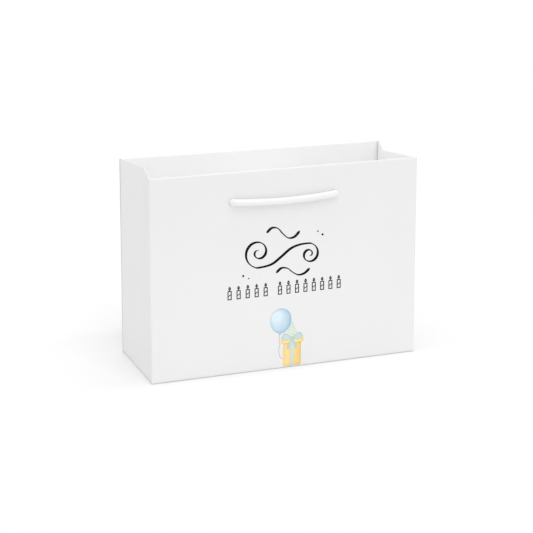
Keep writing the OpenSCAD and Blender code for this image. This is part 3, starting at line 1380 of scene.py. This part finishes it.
def pen(thin: float, thick: float, nib_deg: float = 55) -> Nib:
    """Width of a broad-nib stroke that tapers at both ends.

    Args:
        thin: hairline width in millimetres.
        thick: full width in millimetres.
        nib_deg: direction of the thickest strokes.

    Returns:
        A function of the share of the length and the direction.
    """

    def width(share: float, heading: float) -> float:
        """The stroke's width there."""
        press = abs(math.cos(heading - math.radians(nib_deg))) ** 1.5
        taper = min(1.0, 0.25 + share * 18, 0.25 + (1 - share) * 18)
        return (thin + (thick - thin) * press) * taper

    return width


def even_tone(level: float) -> Tone:
    """Pigment that is the same all over a wash."""
    return lambda x, z, share: level


def spline2(points: Sequence[Point2], step: float = 0.35) -> list[Point2]:
    """A smooth drawn line through points, in millimetres."""
    route = smooth_route([Vector((x, 0, z)) for x, z in points], step)
    return [(p.x, p.z) for p in route]


@dataclass
class Artwork:
    """The print: a streamer flourish, a row of candles, and a balloon tied to a gift box with a party hat.

    Args:
        surface: the panel that the print lies on.
        finishes: the bag's materials.
    """

    surface: PrintSurface
    finishes: Finishes

    def streamer(self) -> list[bpy.types.Object]:
        """A curled party streamer: a lying scroll, two loose ribbons and a few dots."""
        ink = Ink(self.finishes.ink)
        scroll: list[Point2] = []
        for k in range(30):
            t = k / 29
            turn = math.radians(270 - 560 * (1 - t))
            reach = 1.5 + 12.0 * t**1.15
            scroll.append((-26.5 + reach * math.cos(turn), 108 + reach * math.sin(turn)))
        scroll += [(-14.5, 96.3), (-5.5, 102.0), (3.5, 108.6), (12.0, 111.4)]
        for k in range(26):
            t = k / 25
            turn = math.radians(90 - 540 * t)
            reach = 9.8 - 8.4 * t**0.85
            scroll.append((21.5 + reach * math.cos(turn), 102 + reach * math.sin(turn)))
        ribbons = {
            "upper": [(-19.0, 124.6), (-14.0, 128.6), (-8.4, 127.8), (-3.6, 122.6), (1.6, 118.4),
                      (7.4, 119.0), (12.4, 123.8)],
            "lower": [(-10.0, 88.2), (-5.0, 92.0), (0.8, 91.2), (5.8, 87.2), (11.2, 84.4),
                      (17.0, 85.4), (22.0, 89.4)],
        }
        nib = pen(0.95, 2.5)
        made = [self.surface.stroke("printed_streamer", spline2(scroll), nib, ink)]
        for name, points in ribbons.items():
            made.append(self.surface.stroke(f"printed_ribbon_{name}", spline2(points), nib, ink))
        dots = ((34.0, 118.5, 1.0), (29.5, 121.8, 0.7), (-40.5, 88.5, 0.95), (-35.5, 85.8, 0.65))
        turns = np.linspace(0, 2 * math.pi, 25)[:-1]
        for k, (x, z, size) in enumerate(dots):
            dot = [(x + size * math.cos(a), z + size * math.sin(a)) for a in turns]
            made.append(self.surface.wash(f"printed_dot_{k}", (x, z), dot, even_tone(0.4), ink, rings=2))
        return made

    def candles(self, panel: bpy.types.Object) -> list[bpy.types.Object]:
        """A row of thin candles in two groups, draped on the panel by their own tree."""
        candle = CandleDrawing().build()
        places = np.array([*np.linspace(-53.1, -19.7, 5), *np.linspace(-6.2, 50.0, 8)]) - self.surface.left
        feet = [(x, 68.2) for x in places]
        row = DrapedRow().make("printed_candles", feet, candle, panel, self.finishes.ink)
        drop(candle)
        tone = row.data.attributes.new("tone", "FLOAT", "POINT")
        tone.data.foreach_set("value", [0.35] * len(row.data.vertices))
        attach(row, "front_wall")
        return [row]

    def balloon(self) -> list[bpy.types.Object]:
        """A blue balloon with its neck and its thread."""
        fin, surface = self.finishes, self.surface
        middle = (-5.4, 44.0)
        outline = []
        for k in range(72):
            a = 2 * math.pi * k / 72
            across = 10.0 * math.sin(a) * (1 + 0.09 * math.cos(a))
            outline.append((middle[0] + across, middle[1] + 11.5 * math.cos(a)))

        def glow(x: float, z: float, share: float) -> float:
            """Pigment of the balloon: deep at its right rim, thin where the light falls."""
            light = math.exp(-((x + 9.4) ** 2 + (z - 48.6) ** 2) / 15)
            shade = 0.26 * (x - middle[0]) / 10 - 0.12 * (z - middle[1]) / 11.5
            return 0.30 + 0.62 * share**5 + shade - 0.75 * light

        neck = [(-6.2, 33.0), (-5.6, 32.4), (-5.0, 31.2), (-6.2, 31.5), (-7.5, 31.3), (-6.9, 32.4)]
        thread = spline2([(-6.2, 31.6), (-6.9, 27.5), (-6.1, 22.5), (-7.2, 17.0), (-6.3, 12.5),
                          (-5.2, 9.7), (-3.4, 9.0)])
        neck_ink = Ink(fin.blue, 3)
        return [
            surface.stroke("printed_thread", thread, lambda share, heading: 0.42, Ink(fin.thread, 0), 0.5),
            surface.wash("printed_balloon", middle, outline, glow, Ink(fin.blue, 2), rings=16),
            surface.wash("printed_balloon_neck", (-6.2, 32.1), neck, even_tone(0.85), neck_ink, rings=2),
        ]

    def gift(self) -> list[bpy.types.Object]:
        """A honey gift box with a mint blue ribbon and bow, and a striped party hat on its lid."""
        fin, surface = self.finishes, self.surface

        def box(x0: float, z0: float, x1: float, z1: float, soft: float = 0.9) -> list[Point2]:
            """A rounded oblong outline, slightly uneven as if painted."""
            outline = []
            for cx, cz, start in ((x1 - soft, z1 - soft, 0), (x0 + soft, z1 - soft, 90),
                                  (x0 + soft, z0 + soft, 180), (x1 - soft, z0 + soft, 270)):
                for k in range(5):
                    a = math.radians(start + 22.5 * k)
                    outline.append((cx + soft * math.cos(a), cz + soft * math.sin(a)))
            dense = []
            for (ax, az), (bx, bz) in zip(outline, (*outline[1:], outline[0])):
                parts = max(1, int(math.hypot(bx - ax, bz - az) / 0.8))
                for k in range(parts):
                    x, z = ax + (bx - ax) * k / parts, az + (bz - az) * k / parts
                    dense.append((x + 0.12 * math.sin(1.3 * z), z + 0.12 * math.sin(1.1 * x)))
            return dense

        def rimmed(base: float, rim: float) -> Tone:
            """Pigment that settles at the outline."""
            return lambda x, z, share: base + rim * share**6

        def side(x: float, z: float, share: float) -> float:
            """Pigment of the box: deeper at its rim, its right side and under the lid."""
            return 0.30 + 0.35 * share**6 + 0.018 * (x - 5.5) + 0.35 * math.exp(-((23.6 - z) ** 2) / 3)

        hat = [(5.3, 43.8), (-0.1, 30.6), (2.5, 29.8), (5.3, 29.6), (8.1, 29.9), (10.6, 30.8)]
        hat_line = []
        for (ax, az), (bx, bz) in zip(hat, (*hat[1:], hat[0])):
            hat_line += [(ax + (bx - ax) * k / 8, az + (bz - az) * k / 8) for k in range(8)]

        def stripes(x: float, z: float, share: float) -> float:
            """Pigment of the hat: slanted stripes and a darker rim."""
            return 0.22 + 0.28 * (math.sin(2.1 * (z + 0.45 * x)) > 0.2) + 0.3 * share**6

        def loop(tip_x: float, tip_z: float) -> list[Point2]:
            """A bow's loop, from its knot out to a round tip."""
            root = (5.5, 25.8)
            length = math.hypot(tip_x - root[0], tip_z - root[1])
            lead = math.atan2(tip_z - root[1], tip_x - root[0])
            outline = []
            for k in range(40):
                a = 2 * math.pi * k / 40
                u = 0.5 - 0.5 * math.cos(a)
                v = 0.42 * math.sin(a) * u**0.7
                outline.append((root[0] + length * (u * math.cos(lead) - v * math.sin(lead)),
                                root[1] + length * (u * math.sin(lead) + v * math.cos(lead))))
            return outline

        lid, band = box(-4.9, 22.8, 16.2, 28.9, 1.1), box(4.1, 1.5, 6.9, 28.8, 0.3)
        knot = box(3.9, 24.3, 7.1, 27.7, 1.2)
        washes = (
            ("box", (5.5, 12.5), box(-2.9, 1.6, 14.0, 23.9), side, Ink(fin.honey, 1), 14),
            ("lid", (5.5, 25.8), lid, rimmed(0.06, 0.5), Ink(fin.honey, 2), 9),
            ("hat", (5.3, 34.0), hat_line, stripes, Ink(fin.mint, 1), 20),
            ("band", (5.5, 15.0), band, rimmed(0.15, 0.35), Ink(fin.bow, 3), 9),
            ("bow_left", (0.6, 28.0), loop(-3.8, 29.9), rimmed(0.2, 0.6), Ink(fin.bow, 4), 9),
            ("bow_right", (10.4, 28.0), loop(14.8, 29.9), rimmed(0.25, 0.6), Ink(fin.bow, 4), 9),
            ("bow_knot", (5.5, 26.0), knot, rimmed(0.4, 0.5), Ink(fin.bow, 5), 9),
        )
        made = [surface.wash(f"printed_{name}", *rest) for name, *rest in washes]
        tails = {
            "left": [(5.0, 25.0), (2.6, 21.4), (1.7, 17.2)],
            "right": [(6.0, 25.0), (8.3, 21.8), (9.4, 18.0)],
        }
        for name, tail in tails.items():
            made.append(surface.stroke(f"printed_bow_tail_{name}", spline2(tail),
                                       lambda share, heading: 1.2 + 1.3 * share, Ink(fin.bow, 4), 0.55))
        return made

    def build(self, panel: bpy.types.Object) -> list[bpy.types.Object]:
        """Builds all the artwork on a panel."""
        return [*self.streamer(), *self.candles(panel), *self.balloon(), *self.gift()]


@dataclass
class CandleDrawing:
    """One candle, drawn flat with its base at the origin: an outlined body, a wick and a flame.

    Args:
        height: height of the drawing, in millimetres.
        width: width of the body, in millimetres.
        line: thickness of the outline, in millimetres.
        thick: thickness of the film.
    """

    height: float = 12.0
    width: float = 3.8
    line: float = 0.86
    thick: float = 0.04 * MM

    @staticmethod
    def _band(outline: Sequence[Point2], inner: Sequence[Point2]) -> tuple[list[Point2], list[Face]]:
        """A closed band between two matching outlines."""
        count = len(outline)
        faces = [(i, (i + 1) % count, count + (i + 1) % count, count + i) for i in range(count)]
        return [*outline, *inner], faces

    def build(self) -> bpy.types.Object:
        """Builds the drawing as one mesh of closed films."""
        half, line, top = self.width / 2, self.line, self.height * 0.68
        body = [(-half, 0.0), (half, 0.0), (half, top * 0.5), (half, top), (-half, top), (-half, top * 0.5)]
        hole = [(-half + line, line), (half - line, line), (half - line, top * 0.5),
                (half - line, top - line), (-half + line, top - line), (-half + line, top * 0.5)]
        flame, core = [], []
        middle, reach = self.height * 0.865, self.height * 0.135
        for k in range(20):
            a = 2 * math.pi * k / 20
            wide = 1.15 * math.sin(a) * (1 - 0.35 * math.cos(a))
            flame.append((wide, middle + reach * math.cos(a)))
            core.append((wide * 0.2, middle - 0.2 + reach * 0.25 * math.cos(a)))
        slash = [(-half + line, 3.0), (half - line, 4.3), (half - line, 5.2), (-half + line, 3.9)]
        wick = [(-0.35, top), (0.35, top), (0.35, middle - reach), (-0.35, middle - reach)]
        points: list[Point2] = []
        faces: list[Face] = []
        quad = [(0, 1, 2, 3)]
        shapes = (self._band(body, hole), self._band(flame, core), (slash, quad), (wick, quad))
        for shape_points, shape_faces in shapes:
            base = len(points)
            points += shape_points
            faces += [tuple(base + i for i in f) for f in shape_faces]
        piece = linked("candle", [(x * MM, 0, z * MM) for x, z in points], faces=faces)
        solid = piece.modifiers.new("film", "SOLIDIFY")
        solid.thickness, solid.offset = self.thick, 0
        return applied(piece)


class DrapedRow:
    """A Geometry Nodes tree that sets copies of a flat drawing along places and drapes them on a panel."""

    def __init__(self) -> None:
        """Builds the tree."""
        self.tree, self.sockets = geometry_tree(
            "draped row",
            {"Drawing": "Object", "Panel": "Object", "Lift": "Float", "Tilt": "Float", "Seed": "Int",
             "Material": "Material"},
        )
        s = Shader(self.tree)
        given = s.add("NodeGroupInput").outputs
        out = s.add("NodeGroupOutput")
        drawing = s.add("GeometryNodeObjectInfo", {"Object": given["Drawing"]})
        panel = s.add("GeometryNodeObjectInfo", {"Object": given["Panel"]})
        lean = s.add("FunctionNodeRandomValue", {"Seed": given["Seed"]}, data_type="FLOAT")
        s.tree.links.new(s.math("MULTIPLY", given["Tilt"], -1.0), lean.inputs[2])
        s.tree.links.new(given["Tilt"], lean.inputs[3])
        turn = s.add("ShaderNodeCombineXYZ", {"Y": lean.outputs[1]})
        copies = s.add("GeometryNodeInstanceOnPoints", {"Points": given["Geometry"],
                                                        "Instance": drawing.outputs["Geometry"],
                                                        "Rotation": turn.outputs["Vector"]})
        real = s.add("GeometryNodeRealizeInstances", {"Geometry": copies.outputs["Instances"]})
        spread = s.add("GeometryNodeInputPosition").outputs["Position"]
        here = s.add("ShaderNodeSeparateXYZ", {"Vector": spread})
        source = s.add("ShaderNodeCombineXYZ", {"X": here.outputs["X"], "Y": -0.2, "Z": here.outputs["Z"]})
        ray = s.add("GeometryNodeRaycast", {"Target Geometry": panel.outputs["Geometry"],
                                            "Source Position": source.outputs["Vector"],
                                            "Ray Direction": (0.0, 1.0, 0.0), "Ray Length": 1.0})
        hit = s.add("ShaderNodeSeparateXYZ", {"Vector": ray.outputs["Hit Position"]})
        level = s.math("SUBTRACT", s.math("ADD", hit.outputs["Y"], here.outputs["Y"]), given["Lift"])
        spot = s.add("ShaderNodeCombineXYZ", {"X": here.outputs["X"], "Y": level, "Z": here.outputs["Z"]})
        draped = s.add("GeometryNodeSetPosition", {"Geometry": real.outputs["Geometry"],
                                                   "Position": spot.outputs["Vector"]})
        done = s.add("GeometryNodeSetMaterial", {"Geometry": draped.outputs["Geometry"],
                                                 "Material": given["Material"]})
        s.tree.links.new(done.outputs["Geometry"], out.inputs["Geometry"])

    def make(
        self, name: str, places: Sequence[Point2], drawing: bpy.types.Object, panel: bpy.types.Object,
        material: bpy.types.Material,
    ) -> bpy.types.Object:
        """Makes the row as plain mesh.

        Args:
            name: the row's name.
            places: where the copies stand, in millimetres across and up the panel.
            drawing: the flat drawing.
            panel: the panel that they lie on.
            material: their finish.

        Returns:
            The row.
        """
        piece = linked(name, [(x * MM, 0, z * MM) for x, z in places])
        values = {"Drawing": drawing, "Panel": panel, "Lift": 0.05 * MM, "Tilt": 0.012, "Seed": 4,
                  "Material": material}
        grown(piece, self.tree, {self.sockets[title]: value for title, value in values.items()})
        paint(piece, material)
        return piece


# ---------------------------------------------------------------- studio


@dataclass(frozen=True)
class Lamp:
    """A soft oblong lamp: its place, what it aims at, its size and its power."""

    name: str
    spot: tuple[float, float, float]
    aim: tuple[float, float, float]
    width: float
    height: float
    watts: float


@dataclass(frozen=True)
class Beam:
    """A wide soft light from far off: the direction it comes from, how soft it is and its strength."""

    name: str
    source: tuple[float, float, float]
    softness_deg: float
    strength: float


def placed(name: str, data: bpy.types.ID, matrix: Matrix) -> bpy.types.Object:
    """Puts a lamp or a camera in the scene."""
    piece = bpy.data.objects.new(name, data)
    bpy.context.scene.collection.objects.link(piece)
    piece.matrix_world = matrix
    return piece


LAMPS = (
    Lamp("low front fill", (0.0, -0.24, 0.024), (0, 0, 0.024), 0.5, 0.02, 0.021),
    Lamp("mouth light", (0.0, -0.035, 0.42), (0, 0.03, 0.15), 0.3, 0.03, 0.14),
    Lamp("inner fill", (0.0, 0.0, 0.085), (0, 0.0, 0.3), 0.19, 0.04, 0.034),
    Lamp("sweep light", (0.6, 3.4, 2.2), (0.6, 3.4, 0), 3.2, 3.2, 5.0),
)
BEAMS = (
    Beam("key", (0.0, -0.57, 0.82), 40, 0.50),
    Beam("overhead", (0.0, 0.0, 1.0), 90, 0.135),
)


@dataclass(frozen=True)
class Studio:
    """The pale floor, the soft lights and the camera.

    Args:
        floor_half: half the width of the floor.
        world_level: strength of the even surround.
        target: the point that the camera looks at.
        azimuth: the camera's bearing, in degrees from straight in front.
        elevation: its height, in degrees above level.
        roll: its roll, in degrees.
        distance: its distance from the target.
        lens: its focal length, in millimetres.
    """

    floor_half: float = 12.0
    world_level: float = 0.865
    target: tuple[float, float, float] = (-0.00277, 0.0, 0.08113)
    azimuth: float = -21.668
    elevation: float = 16.478
    roll: float = 0.573
    distance: float = 1.3706
    lens: float = 103.3

    def floor(self) -> bpy.types.Object:
        """Builds the floor, a wide pale sheet."""
        half = self.floor_half
        corners = [(-half, -half, 0), (half, -half, 0), (half, half, 0), (-half, half, 0)]
        piece = linked("studio_floor", corners, faces=[(0, 1, 2, 3)])
        material, s, bsdf = new_material("studio paper", (0.92, 0.92, 0.92))
        place = s.add("ShaderNodeTexCoord").outputs["Object"]
        tooth = s.add("ShaderNodeTexNoise", {"Vector": place, "Scale": 5.0, "Detail": 2.0})
        tint = s.mix(s.math("MULTIPLY", tooth.outputs["Fac"], 0.5), (0.94, 0.94, 0.94), (0.96, 0.96, 0.96))
        material.node_tree.links.new(tint, bsdf.inputs["Base Color"])
        preset(bsdf, {"Roughness": 0.9, "Specular IOR Level": 0.1})
        paint(piece, material)
        return piece

    def world(self) -> None:
        """Sets an even pale surround."""
        world = bpy.data.worlds.new("studio surround")
        bpy.context.scene.world = world
        world.use_nodes = True
        background = world.node_tree.nodes["Background"]
        preset(background, {"Color": (1.0, 1.0, 1.0), "Strength": self.world_level})
        bpy.context.scene.view_settings.view_transform = "Standard"
        bpy.context.scene.view_settings.look = "None"

    def light(self, lamp: Lamp) -> None:
        """Adds one soft lamp, unseen by the camera."""
        data = bpy.data.lights.new(lamp.name, "AREA")
        data.shape = "RECTANGLE"
        data.size, data.size_y, data.energy = lamp.width, lamp.height, lamp.watts
        aim = (Vector(lamp.aim) - Vector(lamp.spot)).to_track_quat("-Z", "Y")
        light = placed(lamp.name, data, Matrix.Translation(lamp.spot) @ aim.to_matrix().to_4x4())
        light.visible_camera = False

    def beam(self, beam: Beam) -> None:
        """Adds one wide soft beam."""
        data = bpy.data.lights.new(beam.name, "SUN")
        data.energy, data.angle = beam.strength, math.radians(beam.softness_deg)
        aim = (-Vector(beam.source)).to_track_quat("-Z", "Y")
        placed(beam.name, data, aim.to_matrix().to_4x4())

    def camera(self) -> None:
        """Adds the camera at the viewing angle."""
        azimuth, elevation = math.radians(self.azimuth), math.radians(self.elevation)
        level = math.cos(elevation)
        ahead = Vector((-math.sin(azimuth) * level, math.cos(azimuth) * level, -math.sin(elevation)))
        right = ahead.cross(Vector((0, 0, 1))).normalized()
        up = right.cross(ahead)
        roll = math.radians(self.roll)
        across = right * math.cos(roll) + up * math.sin(roll)
        over = up * math.cos(roll) - right * math.sin(roll)
        place = Vector(self.target) - ahead * self.distance
        data = bpy.data.cameras.new("studio camera")
        data.lens, data.sensor_width = self.lens, 36.0
        data.clip_start, data.clip_end = 0.05, 60.0
        turn = Matrix((across, over, -ahead)).transposed().to_4x4()
        bpy.context.scene.camera = placed("studio camera", data, Matrix.Translation(place) @ turn)

    def build(self) -> None:
        """Builds the whole studio."""
        self.floor()
        self.world()
        for lamp in LAMPS:
            self.light(lamp)
        for beam in BEAMS:
            self.beam(beam)
        self.camera()


# ---------------------------------------------------------------- the bag


@dataclass
class GiftBag:
    """The whole bag: paper, boards, loose card, ropes and print.

    Args:
        form: the bag's shape.
        finishes: the bag's materials.
    """

    form: BagForm
    finishes: Finishes

    def report(self, pieces: Iterable[bpy.types.Object]) -> None:
        """Logs each piece with its triangle count."""
        for piece in pieces:
            count = sum(len(face.vertices) - 2 for face in piece.data.polygons)
            LOG.info("%s: %d triangles", piece.name, count)

    def holes(self, wall: Wall) -> list[Vector]:
        """Centres of a wall's two punches, half way through it, where the CAD rope goes through."""
        low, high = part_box(f"{wall.title}_cord_tails")
        radius, inside = RopeHandle.radius, 4 * MM
        grip_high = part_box(f"{wall.title}_cord_grip")[1]
        out = wall.value * (self.form.half_d - inside)
        return [Vector((x, out, grip_high.z - radius)) for x in (low.x + radius, high.x - radius)]

    def paper(self) -> bpy.types.Object:
        """Builds the paper and gives back the front sheet, which carries the print."""
        fin = self.finishes
        sheets, boards = {}, []
        for wall in Wall:
            holes = self.holes(wall)
            sheets[wall] = WallSheet(self.form, wall, holes, PUNCH_R).build(fin.outer, fin.inner)
            boards.append(StiffBoard(self.form, wall, holes, BOARD_PUNCH_R).build(fin.board))
        made = [*sheets.values(), *boards, SeamFlap(self.form).build(fin.inner)]
        made += [GussetHalf(self.form, end, wall).build(fin.outer, fin.inner) for end in End for wall in Wall]
        made += BaseFolds(self.form).build(fin)
        made.append(LooseCard().build(fin.card))
        self.report(made)
        return sheets[Wall.FRONT]

    def ropes(self) -> None:
        """Builds both handles."""
        tree = RopeTree(BraidLook())
        for wall in Wall:
            self.report(RopeHandle(self.form, wall, tree, self.finishes.rope).build())

    def build(self) -> None:
        """Builds the whole bag."""
        front = self.paper()
        self.ropes()
        self.report(Artwork(PrintSurface(self.form), self.finishes).build(front))


def main() -> None:
    logging.basicConfig(level=logging.INFO, format="%(name)s: %(message)s")
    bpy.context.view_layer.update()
    Studio().build()
    GiftBag(BagForm.from_frame(), Finishes.build()).build()
    bpy.context.view_layer.update()


if __name__ == "__main__":
    main()
